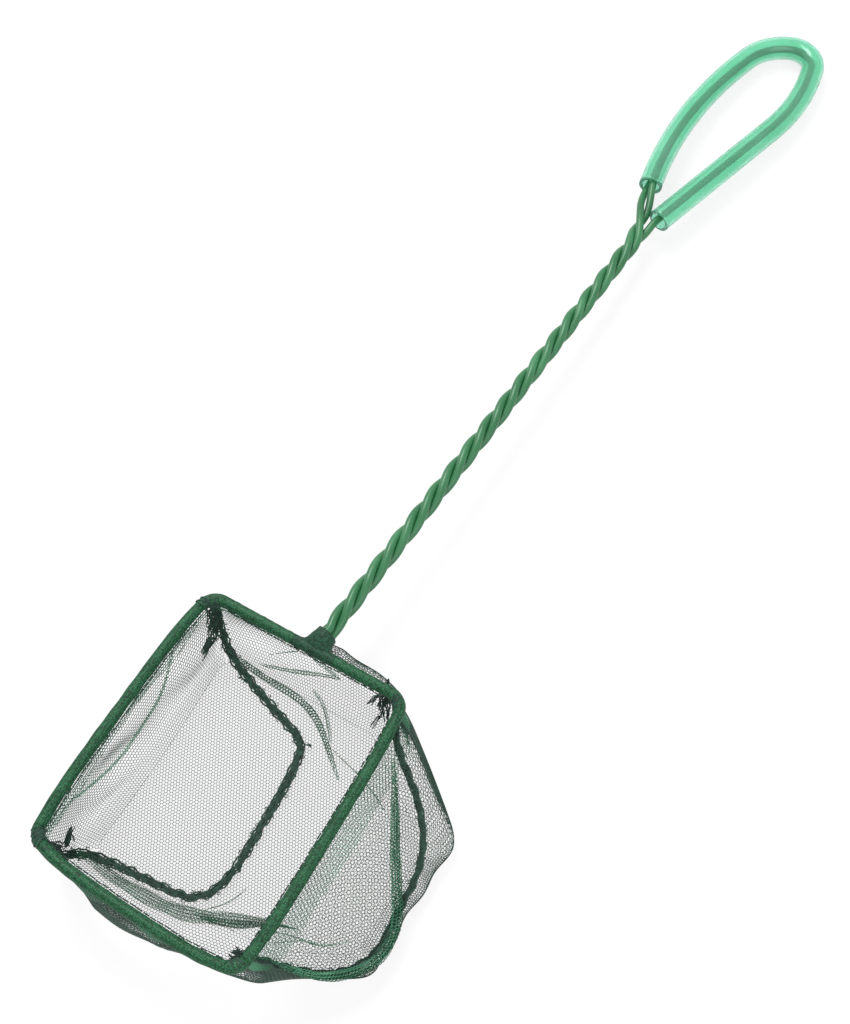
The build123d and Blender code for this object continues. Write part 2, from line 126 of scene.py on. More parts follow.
def place(p):
    """Points of the frame plane (u right, v towards the handle, n up) to the row frame, in millimetres."""
    p = np.asarray(p, float)
    c, s = math.cos(TILT), math.sin(TILT)
    u, v = bowed(p[..., 0], p[..., 1])
    n = p[..., 2]
    return np.stack([u, v * c + n * s, -v * s + n * c], -1) + SHIFT + np.array([0, 0, ROOT_Z])


def on_handle(s, t, n):
    """Point of the frame plane at s along the handle, t across it and n above it."""
    return np.array([ROOT_U, 0, 0]) + ALONG * s + ACROSS * t + UP * n


# Camera, at the photograph's viewing angle: angles in radians, distance in metres, focal length in pixels
PHOTO_WIDE, PHOTO_HIGH = 850.0, 1024.0
AZ, EL, ROLL, DIST, FOCAL = -0.63483, 1.12306, -0.11471, 0.39988, 1507.33
AIM_U, AIM_V = 7.26, 47.55
fw = np.array([math.sin(AZ) * math.cos(EL), math.cos(AZ) * math.cos(EL), -math.sin(EL)])
right0 = np.array([math.cos(AZ), -math.sin(AZ), 0.0])
up0 = np.cross(right0, fw)
right = right0 * math.cos(ROLL) + up0 * math.sin(ROLL)
upward = -right0 * math.sin(ROLL) + up0 * math.cos(ROLL)
aim = (SHIFT + np.array([AIM_U, AIM_V, ROOT_Z])) * MM
spot = aim - fw * DIST
spot_mm = spot * 1000


# Grip loop's centre line
def grip_joints():
    s, t, h, length = MOUTH_S, MOUTH_T, LEG_HEADING, LEG_LENGTH
    joints = [(0.0, s, t, h, 0.0)]
    s += LEG_LENGTH * math.cos(h)
    t += LEG_LENGTH * math.sin(h)
    for radius, swing in GRIP_ARCS:
        joints.append((length, s, t, h, radius))
        cs, ct = s + radius * math.sin(h), t - radius * math.cos(h)
        h -= math.radians(swing)
        length += radius * math.radians(swing)
        s, t = cs - radius * math.sin(h), ct + radius * math.cos(h)
    joints.append((length, s, t, h, 0.0))
    return joints


JOINTS = grip_joints()
GRIP, LEFT_S, LEFT_T, LEFT_H, _last = JOINTS[-1]


def grip_at(d):
    for joint, following in zip(JOINTS, JOINTS[1:]):
        start, s, t, h, radius = joint
        if d <= following[0]:
            break
    if radius == 0.0:
        return s + (d - start) * math.cos(h), t + (d - start) * math.sin(h), h
    k = h - (d - start) / radius
    return (s + radius * (math.sin(h) - math.sin(k)), t - radius * (math.cos(h) - math.cos(k)), k)


def in_grip(d, inward, n):
    s, t, h = grip_at(d)
    return on_handle(s + inward * math.sin(h), t - inward * math.cos(h), n)


# Course of the one wire
def ease(x):
    x = min(max(x, 0.0), 1.0)
    return x * x * (3 - 2 * x)


def turns_to(s):
    """Turns of the twist up to s: none inside the collar and steady above it."""
    return (max(s, LAY_FROM) - LAY_FROM) / PITCH


def twist_angle(s):
    """Angle of the third strand at s; the twist slows down and stops past its end."""
    slow, still = TWIST_END + SLOW_AFTER, TWIST_END + STILL_AFTER
    laid = min(s, slow)
    if s > slow:
        k = min(s, still) - slow
        laid += k - k * k / (2 * (still - slow))
    return math.radians(TWIST_PHASE) - 2 * math.pi * (turns_to(laid) - turns_to(TWIST_END))


def pair_offset(s, side):
    """Place of one strand of the pair beside the pair's axis, side being 1 or -1."""
    parted = ease((s - TWIST_END + PART_BEFORE) / PART_OVER)
    radius = STRAND_R + (PAIR_R - STRAND_R) * parted
    angle = twist_angle(s) + math.pi + side * math.radians(PAIR_ANGLE + PARTING_ANGLE * parted)
    return radius * math.sin(angle), radius * math.cos(angle)


def pair_axis(s):
    """How far the pair's axis has left the handle's axis at s, on its way into the grip loop."""
    begin = TWIST_END - LEAVE_BEFORE
    x = max(0.0, (s - begin) / (LEFT_S - begin))
    slope = math.tan(LEFT_H) * (LEFT_S - begin)
    return LEFT_T * (3 * x * x - 2 * x ** 3) + slope * (x ** 3 - x * x)


def pair_strand(s, side):
    t, n = pair_offset(s, side)
    if s <= LEFT_S:
        return on_handle(s, pair_axis(s) + t, n)
    return in_grip(GRIP - (s - LEFT_S), t, n)


def third_strand(s):
    a = twist_angle(s)
    return on_handle(s, STRAND_R * math.sin(a), STRAND_R * math.cos(a))


PAIR_END = LEFT_S + END_IN_TUBE
SLIDE = pair_offset(PAIR_END, -1)


def wire_in_grip(d):
    x = ease((GRIP - END_IN_TUBE - d) / SETTLE_OVER)
    return in_grip(d, SLIDE[0] + (INSET - SLIDE[0]) * x, SLIDE[1] * (1 - x))


def hermite(p0, t0, p1, t1, count):
    """Smooth link from p0 to p1 that leaves along t0 and arrives along t1."""
    reach = np.linalg.norm(p1 - p0) * LINK_PULL
    x = np.linspace(0, 1, count)[:, None]
    return ((2 * x ** 3 - 3 * x ** 2 + 1) * p0 + (x ** 3 - 2 * x ** 2 + x) * reach * t0
            + (3 * x ** 2 - 2 * x ** 3) * p1 + (x ** 3 - x ** 2) * reach * t1)


def hoop_bend(k, count):
    """Points of the rounded corner k of the hoop, and its directions in and out."""
    corner = np.array([*CORNERS[k], 0.0])
    before = unit(corner - np.array([*CORNERS[k - 1], 0.0]))
    after = unit(np.array([*CORNERS[(k + 1) % 4], 0.0]) - corner)
    swing = math.acos(np.clip(before @ after, -1, 1))
    radius = CORNER_R[k]
    begin = corner - before * radius * math.tan(swing / 2)
    centre = begin + np.cross(UP, before) * radius
    points = [centre + radius * (np.cross(before, UP) * math.cos(a) + before * math.sin(a))
              for a in np.linspace(0, swing, count)]
    return np.array(points), before, after


def wire_course():
    """The whole wire: down the handle, round the hoop, up, round the grip loop and down once more."""
    down = np.array([pair_strand(s, 1) for s in np.linspace(PAIR_END, TWIST_START, PAIR_STEPS)])
    up = np.array([pair_strand(s, -1) for s in np.linspace(TWIST_START, PAIR_END, PAIR_STEPS)])
    back = np.array([third_strand(s) for s in np.linspace(TWIST_END, END_UNDER_COLLAR, THIRD_STEPS)])
    round_grip = np.array([wire_in_grip(d) for d in np.linspace(GRIP - END_IN_TUBE, 0, ROUND_STEPS)])
    hoop_left = np.array([ROOT_U - SPREAD, 0, 0])
    hoop_right = np.array([ROOT_U + SPREAD, 0, 0])
    east = np.array([1.0, 0, 0])
    corners = [hoop_bend(k, BEND_STEPS)[0] for k in range(len(CORNERS))]
    hoop = resample(np.concatenate([[hoop_left], *corners, [hoop_right]]), HOOP_STEP)[::-1]
    lower = hermite(down[-1], unit(down[-1] - down[-2]), hoop_right, east, LINK_STEPS)[1:-1]
    upper = hermite(hoop_left, east, up[0], unit(up[1] - up[0]), LINK_STEPS)[1:-1]
    out_of_grip = unit(round_grip[-1] - round_grip[-2])
    over = hermite(round_grip[-1], out_of_grip, back[0], unit(back[1] - back[0]), LINK_STEPS)[1:-1]
    return np.concatenate([down, lower, hoop, upper, up, round_grip[1:], over, back])


# Mesh helpers: everything is made in millimetres and stored in metres
def piece(name, verts, faces, material, smooth=True, slot=None, replaces=()):
    mesh = bpy.data.meshes.new(name)
    mesh.from_pydata((np.asarray(verts) * MM).tolist(), [], faces)
    mesh.materials.append(material)
    mesh.polygons.foreach_set("use_smooth", [smooth] * len(mesh.polygons))
    mesh.update()
    obj = bpy.data.objects.new(name, mesh)
    bpy.context.scene.collection.objects.link(obj)
    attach(obj, "root")
    if replaces:
        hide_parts(*replaces)
    return obj


def along_path(points):
    """Tangents and a steady pair of cross directions along a path."""
    points = np.asarray(points, float)
    tangent = unit(np.gradient(points, axis=0))
    side = np.empty_like(points)
    ref = np.array([0.0, 0, 1]) if abs(tangent[0][2]) < 0.9 else np.array([1.0, 0, 0])
    s = unit(ref - tangent[0] * (ref @ tangent[0]))
    for k, t in enumerate(tangent):
        s = unit(s - t * (s @ t))
        side[k] = s
    return tangent, side, np.cross(tangent, side)


def tube(points, radius, sides, caps=True):
    """Round tube along points; radius may be one number or one per point."""
    points = np.asarray(points, float)
    _t, a, b = along_path(points)
    r = np.broadcast_to(np.asarray(radius, float), (len(points),))
    ang = np.arange(sides) * 2 * math.pi / sides
    around = np.cos(ang)[None, :, None] * a[:, None] + np.sin(ang)[None, :, None] * b[:, None]
    verts = (points[:, None] + r[:, None, None] * around).reshape(-1, 3)
    faces = []
    for k in range(len(points) - 1):
        for j in range(sides):
            i = (j + 1) % sides
            faces.append((k * sides + j, k * sides + i, (k + 1) * sides + i, (k + 1) * sides + j))
    if caps:
        faces.append(tuple(reversed(range(sides))))
        faces.append(tuple(range((len(points) - 1) * sides, len(points) * sides)))
    return verts, faces


def joined(parts):
    """One mesh of several."""
    verts, faces, base = [], [], 0
    for v, f in parts:
        verts.append(v)
        faces += [tuple(i + base for i in face) for face in f]
        base += len(v)
    return np.concatenate(verts), faces


def lengths(points):
    """Length of a path up to each of its points."""
    return np.concatenate([[0], np.cumsum(np.linalg.norm(np.diff(points, axis=0), axis=1))])


def at_length(values, d, x):
    """Values along a path, at the lengths x."""
    return np.stack([np.interp(x, d, values[:, k]) for k in range(3)], -1)


def resample(points, step):
    """The same path with evenly spaced points, about one step apart."""
    points = np.asarray(points, float)
    d = lengths(points)
    return at_length(points, d, np.linspace(0, d[-1], max(2, int(round(d[-1] / step)) + 1)))


def rounded(points, rounds=3):
    """Corner cutting, with the ends kept."""
    points = np.asarray(points, float)
    for _k in range(rounds):
        a, b = points[:-1], points[1:]
        cut = np.stack([a * 0.75 + b * 0.25, a * 0.25 + b * 0.75], 1).reshape(-1, points.shape[1])
        points = np.concatenate([points[:1], cut[1:-1], points[-1:]])
    return points


# Yarn of the net: side of a hexagon, width and height of the yarn, and its section as shares of these two
SIDE = 0.5
WIDTH = 0.125
HEIGHT = 0.17
SECTION = ((0.0, 0.65), (-0.5, -0.35), (0.5, -0.35))


def yarns(a, b, normal):
    """Three-sided open threads from a to b, with their width across the cloth and their height off it."""
    d = unit(b - a)
    e1 = unit(normal - d * (normal * d).sum(-1, keepdims=True))
    e2 = np.cross(d, e1)
    rings = []
    for end in (a, b):
        for across, height in SECTION:
            rings.append(end + WIDTH * across * e2 + HEIGHT * height * e1)
    verts = np.stack(rings, 1).reshape(-1, 3)
    base = np.arange(len(a))[:, None] * 6
    quads = np.concatenate([base + np.array(q) for q in ((0, 1, 4, 3), (1, 2, 5, 4), (2, 0, 3, 5))])
    return verts, [tuple(q) for q in quads.tolist()]


def honeycomb(width, height, side):
    """Edges of a hexagon net over a rectangle: an array of (start, end) pairs in the plane."""
    dx, dy = math.sqrt(3) * side, 1.5 * side
    cols, rows = int(width / dx) + 2, int(height / dy) + 2
    edges = []
    for r in range(rows):
        shift = 0.5 * dx if r % 2 else 0.0
        y = r * dy
        for c in range(cols):
            x = c * dx + shift
            top = (x, y)
            left = (x - dx / 2, y + side / 2)
            right = (x + dx / 2, y + side / 2)
            edges.append((top, left))
            edges.append((top, right))
            edges.append((left, (x - dx / 2, y + 1.5 * side)))
    return np.array(edges)


def inside(points, polygon):
    """Even-odd test of points in a polygon."""
    x, y = points[..., 0], points[..., 1]
    hit = np.zeros(x.shape, bool)
    px, py = polygon[:, 0], polygon[:, 1]
    j = len(polygon) - 1
    for i in range(len(polygon)):
        cross = (py[i] > y) != (py[j] > y)
        slope = (px[j] - px[i]) * (y - py[i]) / np.where(py[j] == py[i], 1e-9, py[j] - py[i]) + px[i]
        hit ^= cross & (x < slope)
        j = i
    return hit


# Materials
def shader(name):
    material = bpy.data.materials.new(name)
    material.use_nodes = True
    nodes = material.node_tree.nodes
    return material, nodes, material.node_tree.links, nodes["Principled BSDF"]


def noise_of(nodes, links, scale, detail=3.0):
    coords = nodes.new("ShaderNodeTexCoord")
    noise = nodes.new("ShaderNodeTexNoise")
    noise.inputs["Scale"].default_value = scale
    noise.inputs["Detail"].default_value = detail
    links.new(coords.outputs["Object"], noise.inputs["Vector"])
    return noise


def ramp_of(nodes, links, source, stops):
    ramp = nodes.new("ShaderNodeValToRGB")
    ramp.color_ramp.elements[0].position = stops[0][0]
    ramp.color_ramp.elements[0].color = (*stops[0][1], 1)
    ramp.color_ramp.elements[1].position = stops[-1][0]
    ramp.color_ramp.elements[1].color = (*stops[-1][1], 1)
    for position, colour in stops[1:-1]:
        ramp.color_ramp.elements.new(position).color = (*colour, 1)
    links.new(source, ramp.inputs["Fac"])
    return ramp


def bump_of(nodes, links, source, bsdf, strength, distance):
    bump = nodes.new("ShaderNodeBump")
    bump.inputs["Strength"].default_value = strength
    bump.inputs["Distance"].default_value = distance
    links.new(source, bump.inputs["Height"])
    links.new(bump.outputs["Normal"], bsdf.inputs["Normal"])


def coat_material():
    material, nodes, links, bsdf = shader("green_wire_coat")
    wide = noise_of(nodes, links, 90.0)
    greens = [(0.3, (0.021, 0.13, 0.047)), (0.55, (0.031, 0.168, 0.065)), (0.75, (0.047, 0.21, 0.088))]
    ramp = ramp_of(nodes, links, wide.outputs["Fac"], greens)
    links.new(ramp.outputs["Color"], bsdf.inputs["Base Color"])
    fine = noise_of(nodes, links, 2600.0, 2.0)
    bump_of(nodes, links, fine.outputs["Fac"], bsdf, 0.12, 0.0002)
    rough = ramp_of(nodes, links, wide.outputs["Fac"], [(0.3, (0.3, 0.3, 0.3)), (0.7, (0.42, 0.42, 0.42))])
    links.new(rough.outputs["Color"], bsdf.inputs["Roughness"])
    return material


def tube_material():
    material, nodes, links, bsdf = shader("clear_mint_tube")
    wide = noise_of(nodes, links, 60.0)
    ramp = ramp_of(nodes, links, wide.outputs["Fac"], [(0.3, (0.33, 0.84, 0.6)), (0.7, (0.43, 0.9, 0.69))])
    links.new(ramp.outputs["Color"], bsdf.inputs["Base Color"])
    bsdf.inputs["Roughness"].default_value = 0.14
    bsdf.inputs["IOR"].default_value = 1.4
    bsdf.inputs["Transmission Weight"].default_value = 0.85
    fine = noise_of(nodes, links, 500.0, 2.0)
    bump_of(nodes, links, fine.outputs["Fac"], bsdf, 0.06, 0.0004)
    return material


def thread_material(name, dark, mid, light, scale):
    """Matt yarn or thread in three tones, with patches that get smaller as scale grows."""
    material, nodes, links, bsdf = shader(name)
    wide = noise_of(nodes, links, scale)
    ramp = ramp_of(nodes, links, wide.outputs["Fac"], [(0.3, dark), (0.5, mid), (0.72, light)])
    links.new(ramp.outputs["Color"], bsdf.inputs["Base Color"])
    bsdf.inputs["Roughness"].default_value = 0.72
    bsdf.inputs["Sheen Weight"].default_value = 0.12
    fine = noise_of(nodes, links, 6000.0, 2.0)
    bump_of(nodes, links, fine.outputs["Fac"], bsdf, 0.3, 0.0001)
    return material


def knit_material(name, gap_shade, yarn, lit):
    """Close knit: small cells of yarn, stretched a little over the casing; their centres are painted
    lighter as a painted highlight and the gaps between them darker as painted shade.
    """
    material, nodes, links, bsdf = shader(name)
    coords = nodes.new("ShaderNodeTexCoord")
    cells = nodes.new("ShaderNodeTexVoronoi")
    cells.inputs["Scale"].default_value = 1900.0
    cells.inputs["Randomness"].default_value = 0.55
    links.new(coords.outputs["Object"], cells.inputs["Vector"])
    wide = noise_of(nodes, links, 220.0)
    # Painted highlight at the cells' centres, the yarn's colour between, and painted shade in the gaps
    ramp = ramp_of(nodes, links, cells.outputs["Distance"], [(0.1, lit), (0.42, yarn), (0.75, gap_shade)])
    shade = nodes.new("ShaderNodeMixRGB")
    shade.blend_type = "MULTIPLY"
    shade.inputs["Fac"].default_value = 0.5
    tone = ramp_of(nodes, links, wide.outputs["Fac"], [(0.3, (0.62, 0.66, 0.64)), (0.7, (1.0, 1.0, 1.0))])
    links.new(ramp.outputs["Color"], shade.inputs["Color1"])
    links.new(tone.outputs["Color"], shade.inputs["Color2"])
    links.new(shade.outputs["Color"], bsdf.inputs["Base Color"])
    bsdf.inputs["Roughness"].default_value = 0.55
    bsdf.inputs["Specular IOR Level"].default_value = 0.3
    bump_of(nodes, links, cells.outputs["Distance"], bsdf, -0.6, 0.00015)
    return material


def steel_material():
    material, _nodes, _links, bsdf = shader("drawn_steel")
    bsdf.inputs["Base Color"].default_value = (0.5, 0.5, 0.5, 1)
    bsdf.inputs["Metallic"].default_value = 1.0
    bsdf.inputs["Roughness"].default_value = 0.35
    return material


COAT = coat_material()
STEEL = steel_material()
MINT = tube_material()
YARN = thread_material("net_yarn", (0.008, 0.035, 0.021), (0.013, 0.05, 0.031),
                       (0.022, 0.075, 0.047), 140.0)
FOLD = thread_material("net_fold", (0.03, 0.15, 0.078), (0.05, 0.205, 0.112),
                       (0.08, 0.27, 0.155), 160.0)
HEM = knit_material("hem_knit", (0.003, 0.03, 0.012), (0.011, 0.09, 0.036), (0.036, 0.185, 0.078))
# The collar's knit is the hem's cloth painted darker all over, as painted shade of the gathered collar
SHADED_CLOTH = knit_material("collar_knit_shaded", (0.003, 0.022, 0.011), (0.009, 0.058, 0.028), (0.022, 0.11, 0.053))
THREAD = thread_material("overlock_thread", (0.004, 0.026, 0.017), (0.008, 0.043, 0.027),
                         (0.02, 0.078, 0.05), 700.0)

# Wire: a little thicker in the handle, where its strands touch
course = wire_course()
up_handle = (course - np.array([ROOT_U, 0, 0])) @ ALONG
thicker = np.clip((up_handle - THICK_FROM) / THICK_OVER, 0, 1)
thicker *= np.clip((MOUTH_S - up_handle) / THIN_OVER, 0, 1)
coat = tube(place(course), WIRE_R + (HANDLE_WIRE_R - WIRE_R) * thicker, WIRE_SIDES)
piece("coated_wire", *coat, COAT, slot="green_coat", replaces=("wire_coating",))
core = tube(place(course[1:-1]), CORE_R, CORE_SIDES)
piece("steel_core", *core, STEEL, slot="steel", replaces=("wire_core",))

# Sleeve: an outer and an inner tube, joined by a ring at each mouth
grip_points = place(np.array([in_grip(d, 0, 0) for d in np.linspace(0, GRIP, SLEEVE_STEPS)]))
outer_v, outer_f = tube(grip_points, TUBE_R, SLEEVE_SIDES, caps=False)
inner_v, inner_f = tube(grip_points, BORE_R, SLEEVE_SIDES, caps=False)
rings = []
last = (len(grip_points) - 1) * SLEEVE_SIDES
count = len(outer_v)
for j in range(SLEEVE_SIDES):
    i = (j + 1) % SLEEVE_SIDES
    rings.append((i, j, count + j, count + i))
    rings.append((last + j, last + i, count + last + i, count + last + j))
sleeve_faces = outer_f + [tuple(reversed([k + count for k in face])) for face in inner_f] + rings
piece("grip_sleeve", np.concatenate([outer_v, inner_v]), sleeve_faces, MINT,
      slot="clear_mint_tube", replaces=("grip_tube",))

# Bag: rounded outlines of the floor, fold, shoulder and mouth, joined into smooth wall profiles
WIDE = HALF + REACH
OUTLINES = [
    [(TUCK - HALF, -6.5), (HALF * 0.17, -4.0), (HALF * 0.82, -4.0), (WIDE * 0.93, -LENGTH * 0.33),
     (WIDE * 0.91, -LENGTH * 0.78), (HALF + 3.8, 5.5 - LENGTH), (HALF * 0.27, 2.5 - LENGTH),
     (-HALF * 0.34, 2.5 - LENGTH), (TUCK - FAR_HALF - 0.2, 4.0 - LENGTH)],
    [(1.7 - HALF, -3.0), (HALF * 0.2, NEAR_BULGE * 0.5), (HALF * 0.89, NEAR_BULGE * 0.33),
     (WIDE, -LENGTH * 0.31), (WIDE - 0.5, -LENGTH * 0.79), (HALF + 4.8, 1.0 - LENGTH),
     (HALF * 0.34, -FAR_BULGE - LENGTH), (-HALF * 0.41, -FAR_BULGE - LENGTH),
     (1.5 - FAR_HALF, 0.5 - LENGTH)],
    [(0.4 - HALF, -1.0), (HALF * 0.24, NEAR_BULGE), (HALF * 0.86, NEAR_BULGE * 0.75),
     (HALF + REACH * 0.55, -LENGTH * 0.17), (HALF + REACH * 0.58, -LENGTH * 0.89),
     (FAR_HALF + 1.5, -LENGTH), (HALF * 0.27, 0.6 - FAR_BULGE - LENGTH),
     (-HALF * 0.41, 0.3 - FAR_BULGE - LENGTH), (0.2 - FAR_HALF, 0.2 - LENGTH)],
    [(-HALF - 0.3, 0.0), (HALF * 0.17, 0.2), (HALF * 0.84, 0.2), (HALF + 0.3, -5.0),
     (FAR_HALF + 0.2, 3.5 - LENGTH), (FAR_HALF - 3.0, -SKEW - 0.6 - LENGTH),
     (HALF * 0.31, -1.5 - LENGTH), (-HALF * 0.34, -1.2 - LENGTH),
     (-FAR_HALF - 0.2, SKEW - 0.3 - LENGTH)],
]
FOLD_LEVEL, SHOULDER_LEVEL, MOUTH_LEVEL = 1, 2, 3
NEAR_LEFT, RIGHT_NEAR, RIGHT_FAR, FAR_LEFT = 0, 3, 4, 8
EDGE_STEPS, ARC_STEPS, FILLET = 24, 10, 4.0
PER_CORNER = EDGE_STEPS + ARC_STEPS
FLOOR_RIM = 4.0
MOUTH_N = -HEM_R + 0.3
PROFILE = 60


def round_outline(corners):
    """Outline with filleted corners; corner k's arc comes first, then the edge that follows it."""
    pts = [np.array(c, float) for c in corners]
    count = len(pts)
    arcs = []
    for k in range(count):
        b = pts[k]
        u, w = unit(pts[k - 1] - b), unit(pts[(k + 1) % count] - b)
        half_angle = math.acos(np.clip(u @ w, -1, 1)) / 2
        back = FILLET / math.tan(half_angle)
        centre = b + unit(u + w) * FILLET / math.sin(half_angle)
        start, end = b + u * back, b + w * back
        a0 = math.atan2(*(start - centre)[::-1])
        a1 = math.atan2(*(end - centre)[::-1])
        turn = (a1 - a0 + math.pi) % (2 * math.pi) - math.pi
        arcs.append([centre + FILLET * np.array([math.cos(a0 + turn * x), math.sin(a0 + turn * x)])
                     for x in np.linspace(0, 1, ARC_STEPS + 1)])
    out = []
    for k in range(count):
        out += arcs[k][:-1]
        a, b = arcs[k][-1], arcs[(k + 1) % count][0]
        out += [a + (b - a) * x for x in np.arange(EDGE_STEPS) / EDGE_STEPS]
    return np.array(out)


rings_2d = [round_outline(o) for o in OUTLINES]
AROUND = len(rings_2d[0])
floor_ring, fold_ring, shoulder_ring, mouth_ring = rings_2d


def level(ring, z):
    return np.concatenate([ring, np.full((len(ring), 1), z)], 1) + SHIFT


mouth_3d = place(np.concatenate([mouth_ring, np.full((AROUND, 1), MOUTH_N)], 1))
floor_centre = floor_ring.mean(0)
floor_in = floor_ring + FLOOR_RIM * unit(floor_centre - floor_ring)
levels = [level(floor_in, FLOOR_Z), level(floor_ring, FLOOR_Z), level(fold_ring, FOLD_Z),
          level(shoulder_ring, SHOULDER_Z), mouth_3d]
wall = np.empty((AROUND, PROFILE, 3))
wall_length = np.empty(AROUND)
for k in range(AROUND):
    smooth = rounded(np.array([ring[k] for ring in levels]))
    d = lengths(smooth)
    wall[k] = at_length(smooth, d, np.linspace(0, d[-1], PROFILE))
    wall_length[k] = d[-1]
mean_ring = (floor_ring + fold_ring + shoulder_ring + mouth_ring) / 4
around_at = lengths(np.concatenate([mean_ring, mean_ring[:1]]))
GIRTH = around_at[-1]
wall_closed = np.concatenate([wall, wall[:1]])
length_closed = np.concatenate([wall_length, wall_length[:1]])


def on_wall(p, t):
    """Point of the wall: p along the girth in millimetres, t from the floor (0) to the mouth (1)."""
    k = np.interp(np.mod(p, GIRTH), around_at, np.arange(AROUND + 1))
    m = np.clip(t, 0, 1) * (PROFILE - 1)
    k0 = np.clip(k.astype(int), 0, AROUND - 1)
    m0 = np.clip(m.astype(int), 0, PROFILE - 2)
    x, y = (k - k0)[..., None], (m - m0)[..., None]
    a = wall_closed[k0, m0] * (1 - x) + wall_closed[k0 + 1, m0] * x
    b = wall_closed[k0, m0 + 1] * (1 - x) + wall_closed[k0 + 1, m0 + 1] * x
    return a * (1 - y) + b * y


def wall_normal(p, t, step_p=0.3, step_t=0.01):
    du = on_wall(p + step_p, t) - on_wall(p - step_p, t)
    dt = on_wall(p, np.clip(t + step_t, 0, 1)) - on_wall(p, np.clip(t - step_t, 0, 1))
    return unit(np.cross(du, dt))


# Ripples of the cloth: radians per millimetre, direction, phase and weight of each wave
WAVES = [(rng.uniform(0.12, 0.5), rng.uniform(0, 2 * math.pi), rng.uniform(0, 2 * math.pi),
          rng.uniform(0.4, 1.0)) for _k in range(14)]
WAVE_SUM = 3.2


def ripple(a, b):
    """Gentle folds over the cloth, about -1 to 1."""
    total = np.zeros_like(a)
    for freq, angle, phase, weight in WAVES:
        total += weight * np.sin(freq * (a * math.cos(angle) + b * math.sin(angle)) + phase)
    return total / WAVE_SUM


def corner_girth(k):
    """Girth coordinate of the middle of corner k's arc."""
    return np.interp(k * PER_CORNER + ARC_STEPS / 2, np.arange(AROUND + 1), around_at)


def corner_mid(level_index, k):
    return rings_2d[level_index][k * PER_CORNER + ARC_STEPS // 2]


def corner_on_bag(level_index, k, z):
    return np.append(corner_mid(level_index, k), z) + SHIFT


def corner_on_hoop(k):
    return place(np.append(corner_mid(MOUTH_LEVEL, k), -HEM_R))


# The bag's surface, to lay seams, folds and threads on
grid = np.arange(AROUND * PROFILE).reshape(AROUND, PROFILE)
ahead = np.roll(grid, -1, 0)
cells = np.stack([grid[:, :-1], ahead[:, :-1], ahead[:, 1:], grid[:, 1:]], -1).reshape(-1, 4)
middle = np.append(wall[:, 0].mean(0)[:2], FLOOR_Z)
fans = [(int(grid[k, 0]), int(ahead[k, 0]), AROUND * PROFILE) for k in range(AROUND)]
surface = BVHTree.FromPolygons(np.concatenate([wall.reshape(-1, 3), [middle]]).tolist(),
                               [tuple(c) for c in cells.tolist()] + fans)


UNDER_HOOP = place(np.array([0.0, 0.0, -1.0]))


def seen(x, y):
    """Point of the bag that shows at a place of the photograph, and its normal on the side that shows.

    Beside the bag it is the point of a plane just under the hoop."""
    way = unit(fw * FOCAL + right * (x - PHOTO_WIDE / 2) - upward * (y - PHOTO_HIGH / 2))
    hit, normal, _i, _d = surface.ray_cast(Vector(spot_mm), Vector(way))
    if hit is None:
        plane = np.array([0.0, math.sin(TILT), math.cos(TILT)])
        return spot_mm + way * (((UNDER_HOOP - spot_mm) @ plane) / (way @ plane)), plane
    normal = np.array(normal)
    return np.array(hit), -normal if normal @ way > 0 else normal


# Left seam: from corner to corner over the places where the photograph shows it
SEAM_LIFT = 0.6
LEFT_SEAM_PLACES = [(232, 658), (256, 689), (281, 717), (298, 736), (302, 748), (297, 764), (280, 797),
                    (258, 834), (240, 864), (224, 884), (208, 896), (190, 899), (170, 892), (140, 877),
                    (108, 862), (84, 853)]
near_fold = corner_on_bag(FOLD_LEVEL, NEAR_LEFT, FOLD_Z)
near_shoulder = corner_on_bag(SHOULDER_LEVEL, NEAR_LEFT, SHOULDER_Z)
far_fold = corner_on_bag(FOLD_LEVEL, FAR_LEFT, FOLD_Z)
far_shoulder = corner_on_bag(SHOULDER_LEVEL, FAR_LEFT, SHOULDER_Z)
left_seam = [corner_on_hoop(NEAR_LEFT), near_shoulder, near_fold]
left_seam += [seen(x, y)[0] + UP * SEAM_LIFT for x, y in LEFT_SEAM_PLACES]
left_seam += [far_fold, far_fold, far_shoulder, corner_on_hoop(FAR_LEFT)]
left_seam = rounded(np.array(left_seam), 1)

# Right seam: over the upper side of the lobe, as in the CAD
right_plan = [(HALF + REACH * 0.15, -LENGTH * 0.127), (HALF + REACH * 0.6, -LENGTH * 0.26),
              (HALF + REACH * 0.83, -LENGTH * 0.413), (HALF + REACH * 0.85, -LENGTH * 0.6),
              (HALF + REACH * 0.86, -LENGTH * 0.74), (HALF + REACH * 0.67, -LENGTH * 0.86),
              (HALF + REACH * 0.33, -LENGTH * 0.92)]
right_wall = wall[(RIGHT_NEAR - 1) * PER_CORNER + ARC_STEPS:(RIGHT_FAR + 1) * PER_CORNER + ARC_STEPS]
UPPER_FROM = 4.6


def on_upper(x, y):
    """Point of the right-hand wall's upper side that is nearest in plan to a place on the table."""
    plan = right_wall[..., :2] - SHIFT[:2] - np.array([x, y])
    d = np.hypot(plan[..., 0], plan[..., 1])
    d = np.where(right_wall[..., 2] > UPPER_FROM, d, np.inf)
    return right_wall[np.unravel_index(np.argmin(d), d.shape)]


right_seam = [corner_on_hoop(RIGHT_NEAR)]
right_seam += [on_upper(x, y) for x, y in right_plan]
right_seam += [corner_on_hoop(RIGHT_FAR)]
right_seam = rounded(np.array(right_seam))


def wall_place(point):
    """Girth and height coordinates of the wall point nearest to a point."""
    d = np.linalg.norm(wall - point, axis=-1)
    k, m = np.unravel_index(np.argmin(d), d.shape)
    return around_at[k], m / (PROFILE - 1)


